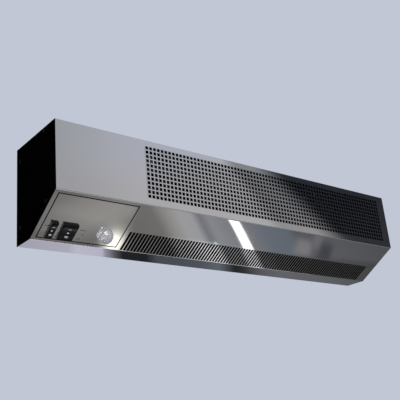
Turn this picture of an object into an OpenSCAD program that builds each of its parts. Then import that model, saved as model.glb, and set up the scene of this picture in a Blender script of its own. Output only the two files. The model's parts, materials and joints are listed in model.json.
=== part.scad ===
// Surface-mounted air curtain with a polished folded casing, a perforated
// inlet in the front, punched outlet slots in the sloping underside, a flush
// control plate, two rocker switches and a clear sensor dome.
// Millimetres. The origin is the centre of the wall bracket's four holes, on
// the wall: +Y goes into the wall, +Z up, and the controls are at the -X end.

/* [Casing] */
// Length over both end caps
case_length = 1018; // [918:10:1218]
// Depth from the wall to the front face
case_depth = 170; // [168:1:176]
// Height from the underside to the top
case_height = 213; // [211:1:219]
// Height of the upright front face
front_height = 146; // [143:1:148]
// Width of the flat strip of the underside beside the wall
strip_width = 57.3; // [54.3:1:60.3]
// Thickness of the casing sheet
sheet = 1.2; // [1:0.1:1.5]
// Width of the folded edges behind the next panel
lap = 14; // [12:1:14.8]
// Bend radius of the folds, on the outside
fold_r = 2; // [1.5:0.1:2.5]
// Height of the short edges turned up against the wall
wall_edge = 10; // [8:1:12]
// Thickness of the end caps
cap_t = 1; // [0.8:0.1:1.5]
// Depth of the recess for the wall bracket
back_recess = 12; // [11:0.5:13]

/* [Front grille] */
// Side of each square hole
hole_side = 7; // [5:0.5:8]
// Distance between hole centres
hole_pitch = 10; // [9:0.5:12]
// From the left bulkhead to the first column of holes
grille_gap = 16.4; // [10:0.1:30]
// From the last column of holes to the right end, at least
grille_end = 30; // [30:1:60]
// From the top edge to the first row of holes
grille_top = 17; // [17:0.5:20]
// From the last row of holes to the lower fold, at least
grille_foot = 19; // [19:0.5:24]

/* [Outlet] */
// Width of each outlet slot
slot_width = 6.2; // [5:0.1:6.5]
// Distance between slot centres
slot_pitch = 8.48; // [8:0.01:10]
// From the control plate to the first slot
slot_gap = 16.5; // [16.5:0.1:30]
// From the last slot to the right end, at least
slot_end = 36; // [30:0.5:60]
// Length of each slot down the slope
slot_length = 52.2; // [45:0.1:53]
// From the lower end of the slots to the lower fold
slot_margin = 1.6; // [1.5:0.1:3]

/* [Fan] */
// From the wall to the fan's axis
axis_from_wall = 92; // [90:1:94]
// From the sloping face to the fan's axis
axis_from_slope = 83.54; // [83:0.1:87]
// Outer radius of the impeller
impeller_r = 45; // [42:1:46]
// Radial depth of the impeller blades
blade_depth = 9; // [7:0.5:10]
// Thickness of the blades
blade_t = 1.4; // [1:0.1:1.8]
// Number of blades round the impeller
blade_count = 30; // [24:1:32]
// Number of segments along the impeller
segment_count = 8; // [6:1:10]
// Turn from one segment to the next, in degrees
segment_skew = 4; // [0:1:10]
// Thickness of the rings between segments
ring_t = 3; // [2.5:0.5:4]
// Radius of the fan's shafts
shaft_r = 5; // [4:0.5:6]
// Radius of the motor
motor_r = 41; // [36:1:42]
// Length of the motor
motor_length = 96; // [80:2:110]
// Thickness of the sheet round the fan
duct_t = 1; // [0.8:0.1:1.2]
// Gap from the impeller to the guide, where the guide starts
guide_gap_start = 5; // [4:0.5:6]
// Gap from the impeller to the guide, where it straightens
guide_gap_end = 18; // [16:1:19]
// Gap from the impeller to the nose of the tongue
tongue_gap = 5; // [4:0.5:6]
// Radius of the tongue's nose
nose_r = 5; // [4:0.5:6]

/* [Heater] */
// Radius of the heating tubes
heater_r = 4; // [3:0.5:4.5]
// Distance between the two legs of a heating tube
heater_leg_gap = 22; // [20:1:24]
// Distance between the upper and the lower heating tube
heater_pitch = 20; // [16:1:22]
// From the sloping face to the nearest leg of the heating tubes
heater_from_slope = 11; // [11:0.5:13]
// From the wall to the middle of the heating tubes
heater_from_wall = 76; // [74:1:78]
// Number of supports along the heating tubes
heater_supports_count = 3; // [2:1:4]

/* [Controls] */
// From the left end to the control plate
plate_left = 12; // [11:0.5:13]
// Length of the control plate along the casing
plate_length = 180.5; // [178:0.5:181]
// From the front fold to the control plate, down the slope
plate_top = 10.7; // [10:0.5:12]
// From the control plate to the lower fold
plate_margin = 8.91; // [8.5:0.01:10]
// Gap round the control plate
plate_gap = 2.5; // [2:0.1:2.7]
// Depth of the control box behind the casing
box_depth = 32; // [29:1:33]
// Wall of the control box
box_wall = 2; // [1.5:0.1:2.4]
// Length of both switches down the slope
switch_length = 40; // [38:1:41]
// From the plate's lower edge to the middle of the switches
switch_from_foot = 23.4; // [23:0.1:25]
// From the plate's left edge to the middle of the fan switch
fan_switch_place = 21; // [20:0.5:22]
// Width of the fan switch
fan_switch_width = 17; // [15:0.5:18]
// From the plate's left edge to the middle of the heat switch
heat_switch_place = 56.5; // [55:0.5:58]
// Width of the heat switch
heat_switch_width = 35.5; // [33:0.5:36]
// Height of the switch frames above the plate
switch_rise = 5.5; // [5:0.5:6]
// Depth of the switch bodies behind the plate
switch_depth = 19; // [16:1:21]
// Width of the frame round each rocker
switch_rim = 2.4; // [2:0.2:2.6]
// Tilt of the rockers to either side, in degrees
rocker_tilt = 12; // [8:1:14]
// Height of the rockers' ends above the plate
rocker_rise = 7.5; // [7:0.5:8.5]
// Hollow in the middle of the rockers
rocker_dip = 1.8; // [1:0.2:2.4]

/* [Sensor] */
// From the plate's right edge to the middle of the sensor
sensor_from_right = 38; // [34:0.5:42]
// From the plate's lower edge to the middle of the sensor
sensor_from_foot = 25.3; // [24:0.1:30]
// Outer radius of the sensor dome
dome_r = 16.8; // [15.6:0.1:18]
// Wall of the sensor dome
dome_wall = 1.6; // [1.2:0.1:2.4]
// Height of the dome's centre above the plate
dome_lift = 2; // [0:0.5:4]
// Radius of the sensor's threaded barrel
barrel_r = 9; // [7:0.5:10]

/* [Wall bracket] */
// From the underside to the middle of the wall bracket
fixing_height = 151; // [147:1:153]
// Thickness of the wall bracket
bracket_t = 2.5; // [2:0.5:3]
// Length of the wall bracket
bracket_length = 280; // [270:5:320]
// Height of the wall bracket's plate
bracket_height = 60; // [56:2:64]
// Distance between the holes along the wall
fixing_spacing_x = 240; // [200:5:250]
// Distance between the holes up the wall
fixing_spacing_z = 36; // [30:1:40]
// Radius of the holes in the wall bracket
fixing_r = 3.25; // [2.5:0.25:3.5]
// Width of the bracket's hooks
hook_width = 30; // [20:2:40]
// Height of the bracket's hooks behind the back plate
hook_height = 12; // [8:1:13]
// Distance between the bracket's hooks
hook_spacing = 180; // [140:10:200]

/* [Electrics] */
// Radius of the supply cable's way through the gland
cable_r = 5; // [4:0.5:5.5]
// Wall of the gland's barrel
gland_wall = 3; // [2.5:0.5:4]
// From the left end to the cable gland
gland_x = 57; // [50:1:70]
// From the wall to the cable gland
gland_from_wall = 45; // [42:1:60]
// Radius of the motor's capacitor
capacitor_r = 15; // [12:1:16]
// Length of the motor's capacitor
capacitor_length = 58; // [40:2:70]

/* [Fasteners and fits] */
// Radius of the screws' shanks
screw_r = 2; // [1.5:0.5:2.5]
// Clearance round a piece that passes through a hole
hole_clearance = 0.25; // [0.15:0.05:0.4]
// Radial clearance of a shaft or pivot that turns
running_clearance = 0.05; // [0.02:0.01:0.08]
// Gap between pieces that lie beside each other
side_gap = 0.3; // [0.2:0.05:0.4]

/* [Hidden] */
$fn = 48;
cut = 1;
left_end = -case_length / 2;
right_end = case_length / 2;
left_in = left_end + cap_t;
right_in = right_end - cap_t;

// casing profile in the plane across the length: [depth, height], wall at 0
front_y = -case_depth;
front_foot = case_height - front_height;
knee = [-strip_width, 0];
slope_run = case_depth - strip_width;
slope_length = norm([slope_run, front_foot]);
slope_fall = atan(front_foot / slope_run);
slope_down = [cos(slope_fall), -sin(slope_fall)];
slope_in = [sin(slope_fall), cos(slope_fall)];
back_face = -back_recess;
back_inner = back_face - sheet;
profile = [
    [0, 0], [0, case_height], [front_y, case_height], [front_y, front_foot], knee
];

// height of the sloping face at a distance from the wall
function slope_height(from_wall) = (from_wall - strip_width) * front_foot / slope_run;
// distance straight up from the sloping face, for one square to it
function above_slope(distance) = distance / cos(slope_fall);

// places on the control plate, from the left end and down from the front fold
plate_right = plate_left + plate_length;
plate_foot = slope_length - plate_margin;
plate_width = plate_foot - plate_top;
fan_switch_x = plate_left + fan_switch_place;
heat_switch_x = plate_left + heat_switch_place;
sensor_x = plate_right - sensor_from_right;
switch_place = plate_foot - switch_from_foot;
sensor_place = plate_foot - sensor_from_foot;

// hole and slot patterns
slot_start = plate_right + slot_gap;
bulkhead_side_gap = 3;
left_bulkhead_x = left_end + slot_start - slot_width - sheet - bulkhead_side_gap;
grille_start = left_bulkhead_x - left_end + grille_gap;
grille_columns = floor((case_length - grille_start - grille_end) / hole_pitch + 0.001) + 1;
grille_rows = floor((front_height - grille_top - grille_foot) / hole_pitch + 0.001) + 1;
slot_count = floor((case_length - slot_start - slot_end) / slot_pitch + 0.001) + 1;
slot_foot = slope_length - slot_margin;
slot_head = slot_foot - slot_length;

// bulkheads and fan
bulkhead_inset = 2 * sheet;
bulkhead_lap = 12;
right_bulkhead_gap = 19;
right_bulkhead_x = right_in - right_bulkhead_gap;
axis_y = -axis_from_wall;
axis_height = slope_height(axis_from_wall) + above_slope(axis_from_slope);
axis_point = [axis_y, axis_height];
fan_side_gap = 7;
impeller_left = left_bulkhead_x + sheet + fan_side_gap;
impeller_right = right_bulkhead_x - fan_side_gap;
impeller_length = impeller_right - impeller_left;
segment_length = (impeller_length - ring_t) / segment_count;
blade_lean = 24;
ring_inner_r = impeller_r - blade_depth - 3;
hub_r = 16;
hub_length = 20;
hub_bore_r = shaft_r + running_clearance;
mount_length = 6;
mount_r = 7;
flange_t = 3;
flange_r = motor_r + 5;
motor_face = left_bulkhead_x - mount_length;
motor_bolt_circle = flange_r - 5;
motor_bolt_angles = [45, 135, 225, 315];
shaft_hole_r = 14;

// tail bearing
bearing_r = 11;
bearing_start = right_bulkhead_x - 3;
housing_r = 18;
housing_length = 8;
housing_floor = 2;
bearing_stop = right_bulkhead_x + sheet + housing_length - housing_floor;

// guide behind the fan: a spiral, then straight down to the lower fold
guide_from = 100;
guide_to = -15;
guide_steps = 14;
guide_foot = 10;
guide_toe = knee + [sheet * 0.4, sheet];

// tongue in front of the outlet
tongue_angle = -112;
tongue_foot_length = 10;
tongue_toe_s = slot_head - 2;
nose_centre = axis_point + (impeller_r + tongue_gap + nose_r) * [cos(tongue_angle), sin(tongue_angle)];

// heating tubes, [depth, height] of the middle of each hairpin, the upper one first
heater_foot = slope_height(heater_from_wall + heater_leg_gap / 2) + above_slope(heater_from_slope);
heater_rows = [[-heater_from_wall, heater_foot + heater_pitch], [-heater_from_wall, heater_foot]];
heater_tail = 22;
heater_end_gap = 18;
bush_wall = 2;
bush_rim = 1.5;
bush_rim_length = 3;
support_t = 1.5;
support_end_gap = 110;
support_rim = 8;
support_top = heater_rows[0][1] + support_rim;
support_foot = heater_rows[1][1] - support_rim + 2;

// control box and switches
rim_width = 3;
box_rim_left = plate_left - plate_gap - rim_width;
box_rim_right = plate_right + plate_gap + rim_width;
box_rim_top = plate_top - plate_gap - rim_width;
box_rim_foot = plate_foot + plate_gap + 2;
stud_inset = 5.5;
stud_r = 1.5;
stud_length = 11;
nut_r = 3.2;
nut_t = 2.4;
box_ledge = 11;
body_inset = 1.2;
box_foot_gap = 0.6;
box_foot_ledge = switch_from_foot - switch_length / 2 + body_inset - box_foot_gap;
box_right = sensor_x + barrel_r + 7;
rocker_axis_z = 2;
rocker_r = switch_length / 2 - switch_rim - side_gap;
rocker_sink = 3;
rocker_floor = 7;
pivot_r = 1.4;
pivot_length = 1;
fan_terminals = 3;
heat_terminals = 3;
blade_width = 4.8;
blade_thick = 0.8;
blade_length = 7;

// sensor
sensor_top = 8;
sensor_nut_r = barrel_r + 4;
sensor_nut_t = 4;
sensor_depth = 24;

// wall bracket
bracket_top = fixing_height + bracket_height / 2 + 2;
hook_y = back_inner - 0.5;
hook_slot_foot = bracket_top - bracket_t - hook_height - 1;

// gland
gland_outer_r = cable_r + gland_wall;
gland_up = 20;
gland_down = 12;
gland_collar_r = gland_outer_r + 4;
gland_nut_t = 5;

// electrical pieces in the left compartment
cutout_r = 8;
cutout_neck_r = 5;
cutout_length = 6;
cutout_place = axis_point + [flange_r + cutout_r + 3, 0];
capacitor_height = 50;
terminal_ways = 6;
terminal_pitch = 11;
terminal_size = [terminal_ways * terminal_pitch, 20, 22];
terminal_inset = 28;
terminal_drop = 62;
terminal_place = [left_end + terminal_inset, back_inner - terminal_size[1], case_height - terminal_drop];
contactor_size = [44, 46, 52];
contactor_inset = 30;
contactor_height = 62;
contactor_place = [left_end + contactor_inset, back_inner - contactor_size[1], contactor_height];

// fasteners
head_r = 2 * screw_r;
cap_screw_length = 10;
cap_screw_inset = 7;
cap_screw_foot = 34;
return_width = 13;
// the lowest screw holds a fold of the sloping panel, the top one a fold of the top
slope_screw_s = 40;
front_screw_place = [front_y, front_foot] + slope_screw_s * slope_down
    + (sheet + cap_screw_inset) * slope_in;
top_screw_depth = 44;
top_screw_place = [front_y + top_screw_depth, case_height - sheet - cap_screw_inset];
rivet_r = 2.4;

steel = [0.72, 0.73, 0.75];
zinc = [0.62, 0.64, 0.66];
black = [0.07, 0.07, 0.08];
rubber = [0.14, 0.14, 0.15];
brass = [0.78, 0.65, 0.35];

function unit(v) = v / norm(v);
function left_of(a, b) = [-unit(b - a)[1], unit(b - a)[0]];
function mitre(a, b) = (a + b) / (1 + a * b);
// direction in which point i of a folded sheet moves inwards
function inward(p, i) =
    i == 0 ? left_of(p[0], p[1]) :
    i == len(p) - 1 ? left_of(p[i - 1], p[i]) :
    mitre(left_of(p[i - 1], p[i]), left_of(p[i], p[i + 1]));
// outline of a sheet of thickness t that lies to the left of the path p
function folded(p, t) = concat(p, [for (i = [len(p) - 1:-1:0]) p[i] + t * inward(p, i)]);
// the bend at corner b between a and c, as a few points
function bend(a, b, c, r) =
    let (reach = r * tan((180 - acos(unit(a - b) * unit(c - b))) / 2),
         from = b + reach * unit(a - b),
         to = b + reach * unit(c - b))
    [for (t = [0:0.25:1]) (1 - t) * (1 - t) * from + 2 * t * (1 - t) * b + t * t * to];
// the path p with every corner bent
function bent(p, r) = concat(
    [p[0]],
    [for (i = [1:len(p) - 2]) each bend(p[i - 1], p[i], p[i + 1], r)],
    [p[len(p) - 1]]
);
// a closed outline moved inwards by d (the outline runs anticlockwise)
function inset(p, d) = [
    for (i = [0:len(p) - 1])
        let (a = p[(i + len(p) - 1) % len(p)], b = p[i], c = p[(i + 1) % len(p)])
        b + d * mitre(left_of(a, b), left_of(b, c))
];
function polar(r, angle) = axis_point + r * [cos(angle), sin(angle)];

// casing coordinates: z = 0 at the underside
module at_wall() {
    translate([0, 0, -fixing_height]) children();
}

// a [depth, height] outline run along the length from x0 to x1
module along(x0, x1) {
    translate([x0, 0, 0]) rotate([90, 0, 90]) linear_extrude(x1 - x0) children();
}

// on the slope: +X along the casing, +Y up the slope, +Z out of the face
module on_slope(x, s) {
    translate([left_end + x, front_y, front_foot])
        rotate([180 - slope_fall, 0, 0])
        translate([0, -s, 0])
        children();
}

// a round bar along X
module bar(r, x0, x1, at) {
    translate([x0, at[0], at[1]]) rotate([0, 90, 0]) cylinder(r = r, h = x1 - x0);
}

// a pan-head screw whose head sits at z = 0 and whose shank points down
module screw(r, length) {
    translate([0, 0, -length]) cylinder(r = r, h = length + 0.01, $fn = 24);
    rotate_extrude($fn = 32)
        polygon([[0, 0], [2 * r, 0], [2 * r, 0.8 * r], [1.5 * r, 1.3 * r], [0.5 * r, 1.3 * r],
                 [0.5 * r, 0.7 * r], [0, 0.7 * r]]);
}

module cap_screw_places() {
    for (side = [-1, 1])
        for (place = [front_screw_place, top_screw_place,
                      [back_inner - cap_screw_inset, cap_screw_foot],
                      [back_inner - cap_screw_inset, case_height - cap_screw_foot]])
            translate([side * case_length / 2, place[0], place[1]])
                rotate([0, side * 90, 0])
                children();
}

module cap_screw_holes() {
    cap_screw_places()
        translate([0, 0, -cap_t - sheet - cut])
        cylinder(r = screw_r + hole_clearance, h = cap_t + sheet + 2 * cut, $fn = 24);
}

module top_panel() {
    path = [
        [0, case_height - wall_edge], [0, case_height],
        [front_y + sheet, case_height], [front_y + sheet, case_height - lap]
    ];
    color(steel) difference() {
        union() {
            along(left_in, right_in) polygon(folded(bent(path, fold_r), sheet));
            for (x = [left_in, right_in - sheet])
                translate([x, top_screw_place[0] - return_width, case_height - return_width])
                    cube([sheet, 2 * return_width, return_width - sheet / 2]);
        }
        gland_place() cylinder(r = gland_outer_r + hole_clearance, h = 4 * sheet, center = true);
        cap_screw_holes();
    }
}

module back_plate() {
    path = [
        [back_face - lap, sheet], [back_face, sheet],
        [back_face, case_height - sheet], [back_face - lap, case_height - sheet]
    ];
    return_foot = lap + 2 * sheet;
    color(zinc) difference() {
        union() {
            along(left_in, right_in) polygon(folded(bent(path, fold_r), sheet));
            for (x = [left_in, right_in - sheet])
                translate([x, back_inner - return_width, return_foot])
                    cube([sheet, return_width + sheet / 2, case_height - 2 * return_foot]);
        }
        for (side = [-1, 1])
            translate([side * hook_spacing / 2 - hook_width / 2 - side_gap,
                       back_inner - cut, hook_slot_foot])
                cube([hook_width + 2 * side_gap, sheet + 2 * cut, bracket_top - hook_slot_foot]);
        cap_screw_holes();
        rivet_places() cylinder(r = rivet_r / 2 + hole_clearance, h = 8 * sheet, center = true,
                                $fn = 24);
    }
}

// a flat sheet over the laps above and below it, punched in a square grid
module front_grille() {
    color(steel) translate([0, front_y + sheet, 0]) rotate([90, 0, 0]) linear_extrude(sheet)
        difference() {
            translate([left_in, front_foot]) square([right_in - left_in, front_height]);
            for (column = [0:grille_columns - 1])
                for (row = [0:grille_rows - 1])
                    translate([left_end + grille_start + column * hole_pitch,
                               case_height - grille_top - row * hole_pitch])
                        square(hole_side, center = true);
        }
}

// the sloping face and the flat strip are one folded sheet
module outlet_panel() {
    slope_start = [front_y + sheet, front_foot - sheet * tan(slope_fall)];
    path = [
        [front_y + sheet, front_foot + lap], slope_start, knee, [0, 0], [0, wall_edge]
    ];
    color(steel) difference() {
        union() {
            along(left_in, right_in) polygon(folded(bent(path, fold_r), sheet));
            for (x = [cap_t, case_length - cap_t - sheet])
                on_slope(x, slope_screw_s + return_width)
                    translate([0, 0, -return_width - sheet])
                    cube([sheet, 2 * return_width, return_width + sheet / 2]);
        }
        cap_screw_holes();
        for (slot = [0:slot_count - 1])
            on_slope(slot_start + slot * slot_pitch, slot_foot)
                translate([-slot_width / 2, 0, -sheet - cut])
                cube([slot_width, slot_length, sheet + 2 * cut]);
        on_slope(plate_left - plate_gap, plate_foot + plate_gap)
            translate([0, 0, -sheet - cut])
            cube([plate_length + 2 * plate_gap, plate_width + 2 * plate_gap, sheet + 2 * cut]);
    }
}

// a plate with the casing's outline and a stiffening flange behind it
module end_cap() {
    flange_depth = 6;
    flange_inset = 6;
    flange_outline = inset([
        [back_inner - return_width, 0], [back_inner - return_width, case_height - return_width],
        [front_y, case_height - return_width], [front_y, front_foot + return_width],
        [-strip_width, return_width]
    ], flange_inset);
    along(0, cap_t) polygon(profile);
    along(-flange_depth, cap_t / 2) difference() {
        polygon(flange_outline);
        polygon(inset(flange_outline, cap_t));
    }
}

module left_end_cap() {
    color(black) difference() {
        translate([left_in, 0, 0]) mirror([1, 0, 0]) end_cap();
        cap_screw_holes();
    }
}

module right_end_cap() {
    color(black) difference() {
        translate([right_in, 0, 0]) end_cap();
        cap_screw_holes();
    }
}

module cap_screws() {
    color(black) cap_screw_places() screw(screw_r, cap_screw_length);
}

// hangs on the wall in the recess; the casing's back plate drops over its hooks
module wall_bracket() {
    low = fixing_height - bracket_height / 2;
    hook_path = [[0, bracket_top - 6], [0, bracket_top], [hook_y, bracket_top],
                 [hook_y, bracket_top + hook_height]];
    color(zinc) difference() {
        union() {
            along(-bracket_length / 2, bracket_length / 2)
                polygon(folded([[0, low], [0, bracket_top - 4]], bracket_t));
            for (side = [-1, 1])
                along(side * hook_spacing / 2 - hook_width / 2, side * hook_spacing / 2 + hook_width / 2)
                    polygon(folded(hook_path, bracket_t));
        }
        for (x = [-1, 1])
            for (z = [-1, 1])
                translate([x * fixing_spacing_x / 2, 0, fixing_height + z * fixing_spacing_z / 2])
                    rotate([90, 0, 0])
                    cylinder(r = fixing_r, h = 4 * bracket_t, center = true);
    }
}

module bulkhead_outline() {
    polygon([
        [back_inner, bulkhead_inset],
        [back_inner, case_height - bulkhead_inset],
        [front_y + bulkhead_inset, case_height - bulkhead_inset],
        inset(profile, bulkhead_inset)[3],
        [knee[0], bulkhead_inset]
    ]);
}

// an upright plate across the casing with a flange along the back plate
module bulkhead(x, flange_side) {
    along(x, x + sheet) bulkhead_outline();
    flange_x = flange_side < 0 ? x - bulkhead_lap : x;
    translate([flange_x, back_inner - sheet, 2 * lap])
        cube([bulkhead_lap + (flange_side < 0 ? sheet : 0), sheet, case_height - 4 * lap]);
}

module heater_leg_holes(r) {
    for (row = heater_rows)
        for (side = [-1, 1])
            bar(r, left_bulkhead_x - cut, left_bulkhead_x + sheet + cut,
                row + [side * heater_leg_gap / 2, 0]);
}

module left_bulkhead() {
    color(zinc) difference() {
        bulkhead(left_bulkhead_x, -1);
        bar(shaft_hole_r, left_bulkhead_x - cut, left_bulkhead_x + sheet + cut, axis_point);
        motor_bolt_places() translate([0, 0, -flange_t - cut])
            cylinder(r = screw_r + hole_clearance, h = flange_t + mount_length + sheet + 2 * cut, $fn = 24);
        heater_leg_holes(heater_r + bush_wall + hole_clearance);
        rivet_places() cylinder(r = rivet_r / 2 + hole_clearance, h = 8 * sheet, center = true,
                                $fn = 24);
    }
}

module right_bulkhead() {
    color(zinc) difference() {
        bulkhead(right_bulkhead_x, -1);
        bar(bearing_r + side_gap, right_bulkhead_x - cut, right_bulkhead_x + sheet + cut, axis_point);
        rivet_places() cylinder(r = rivet_r / 2 + hole_clearance, h = 8 * sheet, center = true,
                                $fn = 24);
    }
}

// rivets through the back plate, along both bulkhead flanges
module rivet_places() {
    for (x = [left_bulkhead_x, right_bulkhead_x])
        for (z = [2 * lap + 12, case_height / 2, case_height - 2 * lap - 12])
            translate([x - bulkhead_lap / 2, back_face, z])
                rotate([-90, 0, 0])
                children();
}

module bulkhead_rivets() {
    color(zinc) rivet_places() {
        translate([0, 0, -2 * sheet]) cylinder(r = rivet_r / 2, h = 2 * sheet + 0.01, $fn = 24);
        rotate_extrude($fn = 24)
            polygon([[0, 0], [rivet_r, 0], [0.8 * rivet_r, 0.6], [0.4 * rivet_r, 1], [0, 1.1]]);
        translate([0, 0, -2 * sheet - 1.2]) cylinder(r = 0.8 * rivet_r, h = 1.2, $fn = 24);
    }
}

module plate_stud_places() {
    for (x = [plate_left + stud_inset, plate_right - stud_inset])
        for (s = [plate_top + stud_inset, plate_foot - stud_inset])
            on_slope(x, s) children();
}

module control_plate() {
    color(steel) difference() {
        union() {
            on_slope(plate_left, plate_foot)
                translate([0, 0, -sheet])
                cube([plate_length, plate_width, sheet]);
            plate_stud_places() translate([0, 0, -sheet - stud_length])
                cylinder(r = stud_r, h = stud_length + sheet / 2, $fn = 24);
        }
        switch_cutout(fan_switch_x, fan_switch_width, side_gap, sheet);
        switch_cutout(heat_switch_x, heat_switch_width, side_gap, sheet);
        on_slope(sensor_x, sensor_place)
            cylinder(r = barrel_r + hole_clearance, h = 4 * sheet, center = true);
    }
}

module plate_nuts() {
    color(zinc) plate_stud_places()
        translate([0, 0, -sheet - box_wall - nut_t])
        difference() {
            cylinder(r = nut_r, h = nut_t, $fn = 6);
            translate([0, 0, -cut]) cylinder(r = stud_r + running_clearance, h = nut_t + 2 * cut,
                                             $fn = 24);
        }
}

// a moulded tray whose rim lies behind the casing and under the control plate
module control_box() {
    inner_left = plate_left + box_ledge;
    inner_length = box_right - inner_left;
    inner_foot = plate_foot - box_foot_ledge;
    inner_width = inner_foot - plate_top - box_ledge;
    color(black) difference() {
        union() {
            on_slope(box_rim_left, box_rim_foot)
                translate([0, 0, -sheet - box_wall])
                cube([box_rim_right - box_rim_left, box_rim_foot - box_rim_top, box_wall]);
            on_slope(inner_left - box_wall, inner_foot + box_wall)
                translate([0, 0, -sheet - box_depth])
                cube([inner_length + 2 * box_wall, inner_width + 2 * box_wall,
                      box_depth - box_wall / 2]);
        }
        on_slope(inner_left, inner_foot)
            translate([0, 0, -sheet - box_depth + box_wall])
            cube([inner_length, inner_width, box_depth + cut]);
        plate_stud_places() translate([0, 0, -sheet - box_wall - cut])
            cylinder(r = stud_r + hole_clearance, h = box_wall + 2 * cut, $fn = 24);
    }
}

// a block whose four sides lean in towards its top
module tapered(x, y, z, lean) {
    intersection() {
        rotate([90, 0, 0]) linear_extrude(y, center = true)
            polygon([[-x / 2, 0], [x / 2, 0], [x / 2 - lean, z], [-x / 2 + lean, z]]);
        rotate([90, 0, 90]) linear_extrude(x, center = true)
            polygon([[-y / 2, 0], [y / 2, 0], [y / 2 - lean, z], [-y / 2 + lean, z]]);
    }
}

module switch_cutout(x, width, gap, thick) {
    on_slope(x, switch_place)
        cube([width - 2 * body_inset + 2 * gap, switch_length - 2 * body_inset + 2 * gap, 4 * thick],
             center = true);
}

// frame and housing of one rocker switch, hollowed for its rocker
module switch_body(x, width) {
    inner = width - 2 * switch_rim;
    color(black) on_slope(x, switch_place) difference() {
        union() {
            tapered(width, switch_length, switch_rise, 0.8);
            translate([0, 0, -switch_depth / 2 + sheet / 2])
                cube([width - 2 * body_inset, switch_length - 2 * body_inset, switch_depth + sheet],
                     center = true);
        }
        intersection() {
            translate([0, 0, rocker_axis_z]) rotate([0, 90, 0])
                cylinder(r = rocker_r + side_gap, h = inner, center = true);
            translate([-width, -switch_length, -rocker_floor])
                cube([2 * width, 2 * switch_length, rocker_floor + 3 * switch_rise]);
        }
        translate([0, 0, rocker_axis_z]) rotate([0, 90, 0])
            cylinder(r = pivot_r + running_clearance, h = inner + 2 * pivot_length + 0.2,
                     center = true, $fn = 32);
    }
}

// a rocker with a hollowed top; its ends are round about its pivots
module rocker(x, width) {
    inner = width - 2 * switch_rim - 2 * side_gap;
    top = rocker_rise - rocker_axis_z;
    color(black) on_slope(x, switch_place) translate([0, 0, rocker_axis_z]) {
        rotate([90, 0, 90]) linear_extrude(inner, center = true) intersection() {
            circle(r = rocker_r, $fn = 96);
            polygon([
                [-rocker_r - 1, -rocker_sink], [rocker_r + 1, -rocker_sink], [rocker_r + 1, top],
                [0.8 * rocker_r, top], [0.4 * rocker_r, top - 0.7 * rocker_dip],
                [0, top - rocker_dip],
                [-0.4 * rocker_r, top - 0.7 * rocker_dip], [-0.8 * rocker_r, top],
                [-rocker_r - 1, top]
            ]);
        }
        rotate([0, 90, 0])
            cylinder(r = pivot_r, h = inner + 2 * side_gap + 2 * pivot_length, center = true,
                     $fn = 32);
    }
}

module fan_switch_body() {
    switch_body(fan_switch_x, fan_switch_width);
}

module heat_switch_body() {
    switch_body(heat_switch_x, heat_switch_width);
}

module fan_rocker() {
    rocker(fan_switch_x, fan_switch_width);
}

module heat_rocker() {
    rocker(heat_switch_x, heat_switch_width);
}

// flat blades under each switch, in a row down the slope
module terminal_row(x, count) {
    spacing = (switch_length - 2 * body_inset - blade_width) / count;
    for (i = [0:count - 1])
        on_slope(x, switch_place)
            translate([0, (i - (count - 1) / 2) * spacing, -switch_depth - blade_length / 2])
            cube([blade_thick, blade_width, blade_length], center = true);
}

module switch_terminals() {
    color(brass) {
        terminal_row(fan_switch_x, fan_terminals);
        for (side = [-1, 1])
            terminal_row(heat_switch_x + side * heat_switch_width / 4, heat_terminals);
    }
}

module sensor_dome() {
    color([0.8, 0.83, 0.88, 0.5]) on_slope(sensor_x, sensor_place) difference() {
        intersection() {
            translate([0, 0, dome_lift]) sphere(r = dome_r, $fn = 64);
            translate([0, 0, dome_r]) cube(2 * dome_r, center = true);
        }
        intersection() {
            translate([0, 0, dome_lift]) sphere(r = dome_r - dome_wall, $fn = 64);
            translate([0, 0, dome_r - cut]) cube(2 * dome_r, center = true);
        }
    }
}

// threaded barrel through the plate, with the sensor's face under the dome
module sensor_body() {
    face_r = dome_r - dome_wall - 3;
    color([0.86, 0.87, 0.9]) on_slope(sensor_x, sensor_place) rotate_extrude($fn = 64)
        polygon([
            [0, -sensor_depth], [barrel_r - 1, -sensor_depth], [barrel_r, -sensor_depth + 1],
            [barrel_r, 0], [face_r, 0], [face_r, 2.5], [face_r - 3, sensor_top - 2.5],
            [face_r - 6, sensor_top - 0.6], [3, sensor_top], [0, sensor_top]
        ]);
}

module sensor_nut() {
    color(black) on_slope(sensor_x, sensor_place) translate([0, 0, -sheet - sensor_nut_t])
        difference() {
            cylinder(r = sensor_nut_r, h = sensor_nut_t, $fn = 6);
            translate([0, 0, -cut])
                cylinder(r = barrel_r + running_clearance, h = sensor_nut_t + 2 * cut);
        }
}

module motor_bolt_places() {
    for (angle = motor_bolt_angles)
        translate([motor_face, 0, 0])
            translate([0, polar(motor_bolt_circle, angle)[0], polar(motor_bolt_circle, angle)[1]])
            rotate([0, 90, 0])
            children();
}

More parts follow.
